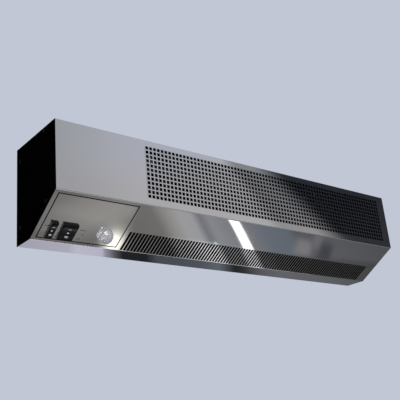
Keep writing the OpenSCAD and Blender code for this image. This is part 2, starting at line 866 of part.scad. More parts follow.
// a shaded-pole style motor: flange, ribbed shell and a domed rear end
module motor_body() {
    shell = motor_length - flange_t;
    color(zinc) difference() {
        union() {
            translate([motor_face, axis_y, axis_height]) rotate([0, -90, 0])
                rotate_extrude($fn = 64)
                polygon([
                    [0, 0], [flange_r, 0], [flange_r, flange_t], [motor_r - 3, flange_t],
                    [motor_r - 3, 0.18 * shell], [motor_r, 0.22 * shell],
                    [motor_r, 0.78 * shell], [motor_r - 3, 0.82 * shell],
                    [motor_r - 5, shell - 4], [motor_r - 12, shell], [9, shell + 1],
                    [8, motor_length], [0, motor_length]
                ]);
            for (angle = [0:15:345])
                bar(1.2, motor_face - 0.76 * shell, motor_face - 0.24 * shell,
                    polar(motor_r, angle));
        }
        bar(shaft_r + running_clearance, motor_face - motor_length + 12, motor_face + cut, axis_point);
        motor_bolt_places() translate([0, 0, -flange_t - cut])
            cylinder(r = screw_r + hole_clearance, h = flange_t + 2 * cut, $fn = 24);
        motor_bolt_places() translate([0, 0, -flange_t - 20])
            cylinder(r = head_r + 1, h = 20, $fn = 24);
    }
}

// soft rings between the motor's flange and the bulkhead
module motor_mounts() {
    color(rubber) motor_bolt_places() rotate_extrude($fn = 32)
        polygon([
            [screw_r + hole_clearance, 0], [mount_r, 0], [mount_r - 1.2, mount_length / 2],
            [mount_r, mount_length], [screw_r + hole_clearance, mount_length]
        ]);
}

module motor_screws() {
    color(zinc) motor_bolt_places() {
        translate([0, 0, -flange_t]) mirror([0, 0, 1])
            screw(screw_r, flange_t + mount_length + sheet + 1.4 * screw_r);
        translate([0, 0, mount_length + sheet]) difference() {
            cylinder(r = 1.8 * screw_r, h = 1.2 * screw_r, $fn = 6);
            translate([0, 0, -cut])
                cylinder(r = screw_r - 0.01, h = 3 * screw_r, $fn = 24);
        }
    }
}

module drive_shaft() {
    color(zinc) bar(shaft_r, motor_face - motor_length + 12.5, impeller_left + hub_length, axis_point);
}

// a soft-bushed hub that carries the impeller on the motor's shaft
module drive_hub() {
    color(rubber) translate([impeller_left, axis_y, axis_height]) rotate([0, 90, 0])
        rotate_extrude()
        polygon([
            [hub_bore_r, -3], [hub_r - 5, -3], [hub_r - 5, ring_t], [hub_r, ring_t],
            [hub_r, ring_t + 5], [hub_r - 4, hub_length], [hub_bore_r, hub_length]
        ]);
}

// outline of one forward-curved blade, at the top of the impeller
function blade_path() = [
    for (t = [0:0.25:1])
        let (r = impeller_r - 0.6 - (1 - t) * blade_depth, turn = blade_lean * (1 - t) * (1 - t) / 2)
        r * [sin(turn), cos(turn)]
];

module impeller_ring(inner_r) {
    difference() {
        circle(r = impeller_r, $fn = 96);
        circle(r = inner_r, $fn = 64);
    }
}

// blades in segments, each a little turned from the last, between rings
module impeller() {
    sunk = ring_t / 3;
    color(black) translate([impeller_left, axis_y, axis_height]) {
        for (segment = [0:segment_count - 1])
            translate([segment * segment_length + ring_t - sunk, 0, 0])
                rotate([segment * segment_skew, 0, 0])
                for (blade = [0:blade_count - 1])
                    rotate([blade * 360 / blade_count, 0, 0])
                        rotate([90, 0, 90])
                        linear_extrude(segment_length - ring_t + 2 * sunk)
                        polygon(folded(blade_path(), blade_t));
        for (ring = [0:segment_count])
            translate([ring * segment_length, 0, 0]) rotate([90, 0, 90]) linear_extrude(ring_t)
                impeller_ring(ring == 0 ? hub_r - 5 + running_clearance :
                              ring == segment_count ? hub_bore_r : ring_inner_r);
    }
}

module tail_shaft() {
    color(zinc) {
        bar(shaft_r, impeller_right - 30, bearing_stop - 1, axis_point);
        bar(hub_r - 4, impeller_right - ring_t - 6, impeller_right - ring_t, axis_point);
    }
}

module tail_bearing() {
    color(brass) difference() {
        bar(bearing_r, bearing_start, bearing_stop, axis_point);
        bar(shaft_r + running_clearance, bearing_start - cut, bearing_stop + cut, axis_point);
    }
}

// a rubber ring in a cup that holds the bearing on the right bulkhead
module bearing_housing() {
    from = right_bulkhead_x + sheet;
    color(rubber) difference() {
        union() {
            bar(housing_r, from, from + 3, axis_point);
            bar(bearing_r + 4, from, from + housing_length, axis_point);
        }
        bar(bearing_r + running_clearance, from - cut, bearing_stop, axis_point);
    }
}

// a spiral behind the impeller that straightens down to the lower fold
module rear_guide() {
    spiral = [
        for (i = [0:guide_steps])
            let (t = i / guide_steps)
            polar(impeller_r + guide_gap_start + t * (guide_gap_end - guide_gap_start),
                  guide_from + t * (guide_to - guide_from))
    ];
    lip = spiral[0] + [-4, 9];
    path = concat([guide_toe + [guide_foot, 0], guide_toe],
                  [for (i = [guide_steps:-1:0]) spiral[i]], [lip]);
    color(zinc) along(left_bulkhead_x + sheet, right_bulkhead_x) polygon(folded(reversed(path), duct_t));
}

function reversed(p) = [for (i = [len(p) - 1:-1:0]) p[i]];

// a folded strip from the slots' upper end to the nose beside the impeller,
// and on to the front panel's lower lap
module vortex_tongue() {
    toe = [front_y, front_foot] + tongue_toe_s * slope_down + sheet * slope_in;
    nose = [for (angle = [0:20:160]) nose_centre + nose_r * [cos(angle), sin(angle)]];
    rest = [front_y + 2 * sheet, front_foot + lap - 2];
    path = concat([toe - tongue_foot_length * slope_down, toe], nose, [rest, rest - [0, 9]]);
    color(zinc) along(left_bulkhead_x + sheet, right_bulkhead_x) polygon(folded(path, duct_t));
}

// two hairpins, one above the other, across the outlet
module heater_elements() {
    bend_r = heater_leg_gap / 2;
    bend_x = right_bulkhead_x - heater_end_gap - bend_r;
    color([0.45, 0.42, 0.4]) for (row = heater_rows) {
        for (side = [-1, 1])
            bar(heater_r, left_bulkhead_x - heater_tail, bend_x, row + [side * bend_r, 0]);
        translate([bend_x, row[0], row[1]]) rotate([0, 0, -90])
            rotate_extrude(angle = 180)
            translate([bend_r, 0]) circle(r = heater_r);
    }
}

module heater_bushes() {
    color([0.88, 0.86, 0.8]) for (row = heater_rows)
        for (side = [-1, 1])
            difference() {
                union() {
                    bar(heater_r + bush_wall, left_bulkhead_x, left_bulkhead_x + sheet + 3,
                        row + [side * heater_leg_gap / 2, 0]);
                    bar(heater_r + bush_wall + bush_rim, left_bulkhead_x - bush_rim_length, left_bulkhead_x,
                        row + [side * heater_leg_gap / 2, 0]);
                }
                bar(heater_r + hole_clearance, left_bulkhead_x - 5, left_bulkhead_x + sheet + 4,
                    row + [side * heater_leg_gap / 2, 0]);
            }
}

// plates on the guide's straight run that carry the heating tubes
module heater_supports() {
    first = left_bulkhead_x + support_end_gap;
    last = right_bulkhead_x - support_end_gap;
    front_edge = heater_rows[0][0] - heater_leg_gap / 2 - support_rim;
    color(zinc) for (i = [0:heater_supports_count - 1])
        along(first + i * (last - first) / (heater_supports_count - 1),
              first + i * (last - first) / (heater_supports_count - 1) + support_t)
            difference() {
                polygon([
                    guide_line(support_foot), guide_line(support_top),
                    [front_edge, support_top], [front_edge, support_foot]
                ]);
                for (row = heater_rows)
                    for (side = [-1, 1])
                        translate(row + [side * heater_leg_gap / 2, 0])
                            circle(r = heater_r + hole_clearance);
            }
}

// the point of the guide's straight run at height z, on its duct side
function guide_line(z) =
    let (top = polar(impeller_r + guide_gap_end, guide_to),
         t = (z - guide_toe[1]) / (top[1] - guide_toe[1]))
    guide_toe + t * (top - guide_toe);

module thermal_cutout() {
    color(black) {
        bar(cutout_r, left_bulkhead_x - cutout_length, left_bulkhead_x, cutout_place);
        bar(cutout_neck_r, left_bulkhead_x - 1.5 * cutout_length, left_bulkhead_x - 0.9 * cutout_length,
            cutout_place);
    }
}

module capacitor() {
    color([0.75, 0.76, 0.78])
        translate([left_bulkhead_x, back_inner - capacitor_r - 6, capacitor_height])
        rotate([0, -90, 0])
        rotate_extrude()
        polygon([
            [0, 0], [capacitor_r, 0], [capacitor_r, capacitor_length - 3],
            [capacitor_r - 3, capacitor_length], [5, capacitor_length],
            [4, capacitor_length + 6], [0, capacitor_length + 6]
        ]);
}

module terminal_block() {
    color([0.9, 0.9, 0.86]) translate(terminal_place) difference() {
        cube(terminal_size);
        for (i = [0:terminal_ways - 1]) {
            translate([(i + 0.5) * terminal_pitch, -cut, terminal_size[2] * 0.6])
                rotate([-90, 0, 0]) cylinder(r = 3, h = 8 + cut, $fn = 24);
            translate([(i + 0.5) * terminal_pitch, terminal_size[1] / 2, -cut])
                cylinder(r = 2.5, h = 7 + cut, $fn = 24);
        }
    }
}

module contactor() {
    nose = 8;
    wire_way = 7;
    wire_pitch = 14;
    color(black) translate(contactor_place) difference() {
        union() {
            cube(contactor_size);
            translate([4, -nose, 10])
                cube([contactor_size[0] - 8, nose + 1, contactor_size[2] - 20]);
        }
        for (i = [-1:1])
            for (z = [-cut, contactor_size[2] - 5])
                translate([contactor_size[0] / 2 + i * wire_pitch - wire_way / 2, -cut, z])
                    cube([wire_way, 12, 5 + cut]);
    }
}

module gland_place() {
    translate([left_end + gland_x, -gland_from_wall, case_height - sheet / 2]) children();
}

// a cable gland in the top: collar and dome nut above, thread below
module cable_gland() {
    color(black) gland_place() translate([0, 0, sheet / 2]) difference() {
        union() {
            cylinder(r = gland_collar_r, h = 5, $fn = 6);
            rotate_extrude() polygon([
                [0, 4], [gland_outer_r + 2.4, 4], [gland_outer_r + 2.4, gland_up - 5],
                [gland_outer_r - 0.5, gland_up], [0, gland_up]
            ]);
            translate([0, 0, -gland_down]) cylinder(r = gland_outer_r, h = gland_down + cut);
        }
        translate([0, 0, -gland_down - cut]) cylinder(r = cable_r, h = gland_up + gland_down + 2 * cut);
    }
}

module gland_nut() {
    color(black) gland_place() translate([0, 0, -sheet / 2 - gland_nut_t]) difference() {
        cylinder(r = gland_collar_r, h = gland_nut_t, $fn = 6);
        translate([0, 0, -cut])
            cylinder(r = gland_outer_r + running_clearance, h = gland_nut_t + 2 * cut);
    }
}

at_wall() top_panel();
at_wall() back_plate();
at_wall() front_grille();
at_wall() outlet_panel();
at_wall() left_end_cap();
at_wall() right_end_cap();
at_wall() cap_screws();
at_wall() wall_bracket();
at_wall() left_bulkhead();
at_wall() right_bulkhead();
at_wall() bulkhead_rivets();
at_wall() control_plate();
at_wall() plate_nuts();
at_wall() control_box();
at_wall() fan_switch_body();
at_wall() fan_rocker();
at_wall() heat_switch_body();
at_wall() heat_rocker();
at_wall() switch_terminals();
at_wall() sensor_dome();
at_wall() sensor_body();
at_wall() sensor_nut();
at_wall() motor_body();
at_wall() motor_mounts();
at_wall() motor_screws();
at_wall() drive_shaft();
at_wall() drive_hub();
at_wall() impeller();
at_wall() tail_shaft();
at_wall() tail_bearing();
at_wall() bearing_housing();
at_wall() rear_guide();
at_wall() vortex_tongue();
at_wall() heater_elements();
at_wall() heater_bushes();
at_wall() heater_supports();
at_wall() thermal_cutout();
at_wall() capacitor();
at_wall() terminal_block();
at_wall() contactor();
at_wall() cable_gland();
at_wall() gland_nut();
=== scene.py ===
import json
import math

import bpy
from mathutils import Matrix, Vector


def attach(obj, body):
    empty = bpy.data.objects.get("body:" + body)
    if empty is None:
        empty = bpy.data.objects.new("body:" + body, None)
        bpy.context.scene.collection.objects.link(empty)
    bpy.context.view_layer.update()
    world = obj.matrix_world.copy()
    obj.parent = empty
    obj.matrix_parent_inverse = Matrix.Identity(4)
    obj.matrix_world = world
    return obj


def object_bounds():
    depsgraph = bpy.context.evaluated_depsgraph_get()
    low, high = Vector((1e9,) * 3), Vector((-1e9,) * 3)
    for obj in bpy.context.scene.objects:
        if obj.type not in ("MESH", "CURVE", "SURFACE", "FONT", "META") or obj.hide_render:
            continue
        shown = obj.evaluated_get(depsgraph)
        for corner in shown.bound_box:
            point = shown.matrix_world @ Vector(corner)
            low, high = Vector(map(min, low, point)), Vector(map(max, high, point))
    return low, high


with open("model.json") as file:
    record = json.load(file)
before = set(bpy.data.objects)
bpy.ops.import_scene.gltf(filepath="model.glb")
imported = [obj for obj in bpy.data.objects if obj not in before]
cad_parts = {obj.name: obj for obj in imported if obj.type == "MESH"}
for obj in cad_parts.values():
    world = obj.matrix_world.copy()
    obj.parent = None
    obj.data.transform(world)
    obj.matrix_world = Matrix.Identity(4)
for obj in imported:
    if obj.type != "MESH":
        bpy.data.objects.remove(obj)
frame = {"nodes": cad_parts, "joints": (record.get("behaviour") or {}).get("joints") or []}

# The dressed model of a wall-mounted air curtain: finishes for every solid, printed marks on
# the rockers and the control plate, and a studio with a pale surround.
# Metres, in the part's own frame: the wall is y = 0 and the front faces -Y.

cad_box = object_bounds()
nodes = frame["nodes"]
joints = {joint["name"]: joint for joint in frame["joints"]}

# ---------------------------------------------------------------- dimensions

MM = 0.001
CASE_LOW = Vector(cad_box[0])
FLOOR_DROP = 2.1
FLOOR_SIZE = 14.0

# the sloping face: how far it falls from the front fold, from the CAD panel's box
SLOPE_RUN = 112.7 * MM
SLOPE_FALL = 67 * MM
SLOPE_ANGLE = math.atan2(SLOPE_FALL, SLOPE_RUN)
DOWN_SLOPE = Vector((0, math.cos(SLOPE_ANGLE), -math.sin(SLOPE_ANGLE)))
OUT_OF_SLOPE = Vector((0, -math.sin(SLOPE_ANGLE), -math.cos(SLOPE_ANGLE)))

# rockers, as the CAD makes them
SWITCH_LENGTH = 40 * MM
SWITCH_RIM = 2.4 * MM
SIDE_GAP = 0.3 * MM
ROCKER_R = SWITCH_LENGTH / 2 - SWITCH_RIM - SIDE_GAP
ROCKER_TOP = 5.5 * MM
ROCKER_DIP = 1.8 * MM
MARK_RISE = 0.12 * MM
MARK_WIDTH = 1.4 * MM
MARK_HALF = 3.4 * MM
MARK_SPACING = 9.8 * MM

# the lower left corner of the front, where the slope starts
FRONT_FOOT = Vector((-509 * MM, -170 * MM, -84 * MM))

# the perforated part of the front, along the casing and up it
FIELD_X = (-300 * MM, 479 * MM)
FIELD_Z = (-66 * MM, 46 * MM)

# camera, from a fit to the corners in the photograph
CAMERA_PLACE = (-1.08765, -1.26892, -0.57985)
CAMERA_YAW = math.radians(40.169)
CAMERA_PITCH = math.radians(20.167)
CAMERA_ROLL = math.radians(-5.271)
CAMERA_LENS = 62.96
CAMERA_SENSOR = 36.0

# ------------------------------------------------------------ node graphs

SURROUND = (0.533, 0.571, 0.665)


def dim(colour, level):
    return tuple(channel * level for channel in colour)


class Graph:
    """Short names for the nodes that the materials and the world are built from."""

    def __init__(self, tree):
        self.tree = tree

    def node(self, kind, **settings):
        made = self.tree.nodes.new(kind)
        for name, value in settings.items():
            setattr(made, name, value)
        return made

    def put(self, socket, value):
        """Links a socket's source, or sets a plain value."""
        if isinstance(value, bpy.types.NodeSocket):
            self.tree.links.new(value, socket)
        elif isinstance(value, (tuple, list)) and socket.type == "RGBA" and len(value) == 3:
            socket.default_value = (*value, 1)
        else:
            socket.default_value = value

    def math(self, operation, first, second=0.0, clamp=False):
        made = self.node("ShaderNodeMath", operation=operation, use_clamp=clamp)
        self.put(made.inputs[0], first)
        self.put(made.inputs[1], second)
        return made.outputs[0]

    def plus(self, first, second):
        return self.math("ADD", first, second)

    def times(self, first, second):
        return self.math("MULTIPLY", first, second)

    def remap(self, value, from_low, from_high, to_low=0.0, to_high=1.0, smooth=True):
        kind = "SMOOTHSTEP" if smooth else "LINEAR"
        made = self.node("ShaderNodeMapRange", interpolation_type=kind)
        self.put(made.inputs["Value"], value)
        self.put(made.inputs["From Min"], from_low)
        self.put(made.inputs["From Max"], from_high)
        self.put(made.inputs["To Min"], to_low)
        self.put(made.inputs["To Max"], to_high)
        return made.outputs["Result"]

    def window(self, value, low, high, soft):
        """1 between low and high, fading to 0 over soft on both sides."""
        rise = self.remap(value, low - soft, low)
        fall = self.remap(value, high, high + soft, 1.0, 0.0)
        return self.times(rise, fall)

    def mix(self, factor, first, second):
        made = self.node("ShaderNodeMix", data_type="RGBA")
        self.put(made.inputs["Factor"], factor)
        self.put(made.inputs["A"], first)
        self.put(made.inputs["B"], second)
        return made.outputs["Result"]

    def ramp(self, value, stops):
        """A colour ramp; stops are (place from 0 to 1, grey or colour)."""
        made = self.node("ShaderNodeValToRGB")
        line = made.color_ramp
        while len(line.elements) < len(stops):
            line.elements.new(0.5)
        for element, (place, tone) in zip(line.elements, stops):
            element.position = place
            colour = tone if isinstance(tone, tuple) else (tone, tone, tone)
            element.color = (*colour, 1)
        self.put(made.inputs["Fac"], value)
        return made.outputs["Color"]

    def place(self, scale=(1, 1, 1), turn=(0, 0, 0)):
        """A point of the object, in metres, stretched for a texture."""
        source = self.node("ShaderNodeTexCoord").outputs["Object"]
        made = self.node("ShaderNodeMapping")
        self.put(made.inputs["Vector"], source)
        self.put(made.inputs["Scale"], scale)
        self.put(made.inputs["Rotation"], turn)
        return made.outputs["Vector"]

    def noise(self, scale, detail=3.0, rough=0.5, stretch=(1, 1, 1), turn=(0, 0, 0)):
        made = self.node("ShaderNodeTexNoise")
        self.put(made.inputs["Vector"], self.place(stretch, turn))
        self.put(made.inputs["Scale"], scale)
        self.put(made.inputs["Detail"], detail)
        self.put(made.inputs["Roughness"], rough)
        return made.outputs["Fac"]

    def cells(self, scale, feature="F1", stretch=(1, 1, 1)):
        made = self.node("ShaderNodeTexVoronoi", feature=feature)
        self.put(made.inputs["Vector"], self.place(stretch))
        self.put(made.inputs["Scale"], scale)
        return made

    def bump(self, height, distance, strength=1.0, normal=None):
        made = self.node("ShaderNodeBump")
        self.put(made.inputs["Height"], height)
        self.put(made.inputs["Distance"], distance)
        self.put(made.inputs["Strength"], strength)
        if normal is not None:
            self.put(made.inputs["Normal"], normal)
        return made.outputs["Normal"]


def material(name, **constants):
    """A new material: its graph and its Principled shader, with constants on its sockets."""
    made = bpy.data.materials.new(name)
    made.use_nodes = True
    graph = Graph(made.node_tree)
    shader = made.node_tree.nodes["Principled BSDF"]
    for key, value in constants.items():
        graph.put(shader.inputs[key.replace("_", " ")], value)
    return made, graph, shader


# --------------------------------------------------------------- materials


def cut_edges(g, across):
    """One on a sheet's cut edges: the faces that look along the casing or along across."""
    face = g.node("ShaderNodeNewGeometry").outputs["True Normal"]
    found = []
    for direction in ((1, 0, 0), across):
        dot = g.node("ShaderNodeVectorMath", operation="DOT_PRODUCT")
        g.put(dot.inputs[0], face)
        g.put(dot.inputs[1], direction)
        found.append(g.remap(g.math("ABSOLUTE", dot.outputs["Value"]), 0.9, 0.95))
    return g.math("MAXIMUM", *found)


def punched_field(g):
    """One where the front is perforated, fading to zero within a millimetre or two."""
    split = g.node("ShaderNodeSeparateXYZ")
    g.put(split.inputs[0], g.node("ShaderNodeTexCoord").outputs["Object"])
    x, _, z = split.outputs
    return g.times(g.window(x, *FIELD_X, 1.5 * MM), g.window(z, *FIELD_Z, 1.5 * MM))


def polished_steel(name, across=None, edge_shade=1.0, field_shade=0.0):
    """Mirror-polished sheet: a little roll waviness, faint long polish lines and wiped smudges.

    Its cut edges, the walls of the holes and slots, are painted down to the given share of their colour
    as painted shade in the holes, and are also rougher. The bars between the perforations are painted
    darker by the given share: painted shade standing for the dark seen through the holes."""
    made, g, shader = material(name, Metallic=1.0)
    smudge = g.noise(9.0, 4.0, 0.6, (1, 1.6, 1.6))
    lines = g.noise(1.0, 2.0, 0.6, (14, 900, 900))
    tone = g.plus(g.times(smudge, 0.6), g.times(lines, 0.4))
    colour = g.mix(tone, (0.655, 0.655, 0.66), (0.705, 0.705, 0.71))
    rough = g.plus(g.remap(smudge, 0.3, 0.75, 0.015, 0.03), g.times(lines, 0.008))
    if across:
        cut = cut_edges(g, across)
        # painted shade: cut edges darkened to the given share; the added roughness below is real
        # dullness
        colour = g.mix(cut, colour, dim((0.66, 0.66, 0.67), edge_shade))
        rough = g.plus(rough, g.times(cut, 0.5))
    if field_shade:
        # painted shade: the bars of the perforated field darkened toward black, for the dark seen
        # through the holes
        colour = g.mix(g.times(punched_field(g), field_shade), colour, (0, 0, 0))
    g.put(shader.inputs["Base Color"], colour)
    g.put(shader.inputs["Roughness"], rough)
    wave = g.bump(g.noise(5.0, 1.0, 0.4, (1, 2, 2)), 0.0001)
    grain = g.bump(lines, 0.000001, 0.5, wave)
    g.put(shader.inputs["Normal"], grain)
    return made


def zinc_steel(name, level=1.0):
    """Galvanised sheet with soft spangles and a dull patina; a level below one darkens every tone as
    painted shade.
    """
    made, g, shader = material(name, Metallic=0.9)
    spangle = g.cells(95.0)
    patina = g.noise(14.0, 4.0)
    tone = g.mix(spangle.outputs["Color"], dim((0.36, 0.37, 0.38), level), dim((0.5, 0.51, 0.52), level))
    dull = dim((0.42, 0.43, 0.44), level)
    g.put(shader.inputs["Base Color"], g.mix(g.times(patina, 0.5), tone, dull))
    g.put(shader.inputs["Roughness"], g.remap(patina, 0.3, 0.7, 0.34, 0.5))
    g.put(shader.inputs["Normal"], g.bump(spangle.outputs["Distance"], 0.00005, 0.5))
    return made


def duct_paint():
    """Near-black sheets round the fan: painted shade, so that the slots stay dark."""
    made, g, shader = material("duct_paint", Specular_IOR_Level=0.05)
    dust = g.noise(60.0, 5.0)
    # painted shade: a near-black base, with random dusty tone on top
    g.put(shader.inputs["Base Color"], g.mix(dust, (0.004, 0.004, 0.0045), (0.01, 0.01, 0.011)))
    g.put(shader.inputs["Roughness"], g.remap(dust, 0.3, 0.7, 0.75, 0.9))
    g.put(shader.inputs["Normal"], g.bump(g.noise(900.0, 2.0), 0.00003, 0.6))
    return made


def moulded(name, low, high, rough, texture, depth, specular=0.4):
    """A moulded plastic: two tones, a roughness range and a spark-eroded texture."""
    made, g, shader = material(name, Specular_IOR_Level=specular)
    cloud = g.noise(24.0, 3.0)
    grit = g.noise(texture, 3.0, 0.6)
    g.put(shader.inputs["Base Color"], g.mix(cloud, low, high))
    g.put(shader.inputs["Roughness"], g.plus(g.remap(cloud, 0.3, 0.7, rough, rough + 0.08),
                                             g.times(grit, 0.06)))
    g.put(shader.inputs["Normal"], g.bump(grit, depth, 0.7))
    return made


def metal(name, low, high, rough, stretch, depth, cloudiness=20.0):
    """A plain metal with turned or drawn lines along the stretch."""
    made, g, shader = material(name, Metallic=1.0)
    cloud = g.noise(cloudiness, 4.0)
    lines = g.noise(1.0, 2.0, 0.6, stretch)
    g.put(shader.inputs["Base Color"], g.mix(cloud, low, high))
    g.put(shader.inputs["Roughness"], g.plus(g.remap(cloud, 0.3, 0.7, rough, rough + 0.12),
                                             g.times(lines, 0.06)))
    g.put(shader.inputs["Normal"], g.bump(lines, depth, 0.7))
    return made


def clear_dome():
    """Clear moulded plastic with a pearly cast and faint flow marks."""
    made, g, shader = material("clear_dome", Transmission_Weight=0.15, IOR=1.5, Specular_IOR_Level=1.0)
    flow = g.noise(40.0, 2.0)
    g.put(shader.inputs["Base Color"], g.mix(flow, (0.6, 0.58, 0.57), (0.7, 0.67, 0.66)))
    g.put(shader.inputs["Roughness"], g.remap(flow, 0.3, 0.7, 0.09, 0.12))
    g.put(shader.inputs["Normal"], g.bump(g.noise(70.0, 1.0), 0.00003, 0.1))
    return made


def ink(name, low, high):
    """Thick marking ink with slightly uneven cover."""
    made, g, shader = material(name, Specular_IOR_Level=0.3)
    cover = g.noise(1800.0, 3.0)
    g.put(shader.inputs["Base Color"], g.mix(cover, low, high))
    g.put(shader.inputs["Roughness"], g.remap(cover, 0.3, 0.7, 0.4, 0.55))
    g.put(shader.inputs["Normal"], g.bump(cover, 0.00002, 0.5))
    return made


def heater_sheath():
    """Oxidised tube: straw and blue-brown tints in bands along its length, held near black as painted
    shade inside the casing.
    """
    made, g, shader = material("heater_sheath", Metallic=1.0)
    band = g.noise(1.0, 3.0, 0.6, (22, 5, 5))
    # the banded tints are real oxide; their near-black level is painted shade
    tint = g.ramp(band, [(0.3, (0.01, 0.009, 0.008)), (0.5, (0.016, 0.013, 0.011)),
                         (0.7, (0.009, 0.009, 0.011))])
    g.put(shader.inputs["Base Color"], tint)
    g.put(shader.inputs["Roughness"], g.remap(band, 0.3, 0.7, 0.55, 0.7))
    g.put(shader.inputs["Normal"], g.bump(g.noise(500.0, 2.0), 0.00003, 0.5))
    return made


STEEL = polished_steel("polished_steel")
# painted shade: cut edges kept at 7 and 5 per cent of their colour, and the front's perforated bars
# darkened by 0.14
FRONT_STEEL = polished_steel("front_steel", (0, 0, 1), 0.07, 0.14)
SLOPE_STEEL = polished_steel("slope_steel", tuple(DOWN_SLOPE), 0.05)
ZINC = zinc_steel("zinc_steel")
# painted shade: the bulkheads' zinc held at 0.12 of its tone, for the dark inside the casing
SHADED_ZINC = zinc_steel("shaded_zinc", 0.12)
DUCT_SHADE = duct_paint()
CAP = moulded("black_cap", (0.0005, 0.0005, 0.0006), (0.001, 0.001, 0.0012), 0.6, 1100.0, 0.00003, 0.0)
BLACK = moulded("black_plastic", (0.004, 0.0035, 0.0035), (0.007, 0.006, 0.006), 0.26, 1600.0,
                0.00001, 0.13)
SCREW = moulded("screw_black", (0.001, 0.001, 0.001), (0.002, 0.002, 0.002), 0.5, 1600.0, 0.00001, 0.03)
TRAY = moulded("tray_plastic", (0.003, 0.003, 0.003), (0.005, 0.005, 0.005), 0.6, 900.0, 0.00004, 0.05)
RUBBER = moulded("rubber", (0.02, 0.02, 0.02), (0.035, 0.035, 0.034), 0.7, 700.0, 0.00006, 0.25)
SENSOR_WHITE = moulded("sensor_white", (0.3, 0.3, 0.33), (0.4, 0.4, 0.43), 0.22, 900.0, 0.00002)
CERAMIC = moulded("ceramic", (0.62, 0.59, 0.5), (0.74, 0.71, 0.63), 0.5, 1200.0, 0.00004, 0.3)
MOTOR = moulded("motor_grey", (0.1, 0.105, 0.11), (0.15, 0.155, 0.16), 0.38, 500.0, 0.00005)
BRASS = metal("brass", (0.55, 0.4, 0.17), (0.72, 0.56, 0.28), 0.28, (30, 600, 30), 0.00001)
SHAFT = metal("ground_steel", (0.5, 0.5, 0.51), (0.62, 0.62, 0.63), 0.18, (900, 20, 20), 0.000008)
IMPELLER = metal("impeller_metal", (0.012, 0.012, 0.013), (0.025, 0.025, 0.027), 0.4,
                 (20, 700, 700), 0.00002)
CAN = metal("aluminium_can", (0.6, 0.6, 0.61), (0.74, 0.74, 0.75), 0.26, (20, 500, 500), 0.00001)
DOME = clear_dome()
WHITE_INK = ink("white_ink", (0.78, 0.79, 0.8), (0.9, 0.9, 0.9))
BROWN_INK = ink("brown_ink", (0.17, 0.13, 0.12), (0.24, 0.18, 0.165))
SHEATH = heater_sheath()

FINISHES = {
    "top_panel": STEEL, "front_grille": FRONT_STEEL, "outlet_panel": SLOPE_STEEL,
    "control_plate": SLOPE_STEEL,
    "left_end_cap": CAP, "right_end_cap": CAP, "cap_screws": SCREW,
    "back_plate": ZINC, "wall_bracket": ZINC, "left_bulkhead": SHADED_ZINC,
    "right_bulkhead": SHADED_ZINC,
    "bulkhead_rivets": SHAFT, "plate_nuts": ZINC, "control_box": TRAY,
    "fan_switch_body": BLACK, "fan_rocker": BLACK, "heat_switch_body": BLACK, "heat_rocker": BLACK,
    "switch_terminals": BRASS, "sensor_dome": DOME, "sensor_body": SENSOR_WHITE, "sensor_nut": BLACK,
    "motor_body": MOTOR, "motor_mounts": RUBBER, "motor_screws": ZINC,
    "drive_shaft": SHAFT, "drive_hub": RUBBER, "impeller": IMPELLER, "tail_shaft": SHAFT,
    "tail_bearing": BRASS, "bearing_housing": RUBBER, "rear_guide": DUCT_SHADE, "vortex_tongue": DUCT_SHADE,
    "heater_elements": SHEATH, "heater_bushes": CERAMIC, "heater_supports": DUCT_SHADE,
    "thermal_cutout": BLACK, "capacitor": CAN, "terminal_block": CERAMIC, "contactor": TRAY,
    "cable_gland": BLACK, "gland_nut": BLACK,
}


def dress(name, finish):
    """Gives a CAD node its finish."""
    slots = nodes[name].data.materials
    slots.clear()
    slots.append(finish)


for node_name, finish in FINISHES.items():
    dress(node_name, finish)

# --------------------------------------------------------------- rocker marks


def rocker_height(v):
    """Height of a rocker's hollowed top above its pivot, at v along its length."""
    stops = [(0.0, ROCKER_TOP - ROCKER_DIP), (0.4 * ROCKER_R, ROCKER_TOP - 0.7 * ROCKER_DIP),
             (0.8 * ROCKER_R, ROCKER_TOP), (2.0 * ROCKER_R, ROCKER_TOP)]
    reach = abs(v)
    for (low, low_height), (high, high_height) in zip(stops, stops[1:]):
        if reach <= high:
            return low_height + (high_height - low_height) * (reach - low) / (high - low)
    return ROCKER_TOP


def ring_outline(half_width, half_length, count=28):
    """Points of an oval, anticlockwise."""
    turns = (2 * math.pi * i / count for i in range(count))
    return [(half_width * math.cos(turn), half_length * math.sin(turn)) for turn in turns]


def oval_mark(centre, half_width, half_length):
    """Faces of a ring-shaped mark: pairs of points on its inner and outer outline."""
    outer = ring_outline(half_width, half_length)
    inner = ring_outline(half_width - MARK_WIDTH, half_length - MARK_WIDTH)
    quads = []
    for i in range(len(outer)):
        j = (i + 1) % len(outer)
        quads.append([outer[i], outer[j], inner[j], inner[i]])
    return [[(x, centre + y) for x, y in quad] for quad in quads]


def disc_mark(centre, half_width, half_length):
    """Faces of a filled round mark: quads between its left and right outline."""
    count = 8
    turns = [math.pi * (i / count - 0.5) for i in range(count + 1)]
    rows = [(half_width * math.cos(turn), centre + half_length * math.sin(turn)) for turn in turns]
    return [[(-w0, y0), (w0, y0), (w1, y1), (-w1, y1)] for (w0, y0), (w1, y1) in zip(rows, rows[1:])]


def bar_mark(centre, half_width, half_length, pieces=3):
    """Faces of a mark that lies across the rocker, cut along it so that it follows the top."""
    step = 2 * half_length / pieces
    rows = [centre - half_length + i * step for i in range(pieces + 1)]
    return [[(-half_width, low), (half_width, low), (half_width, high), (-half_width, high)]
            for low, high in zip(rows, rows[1:])]


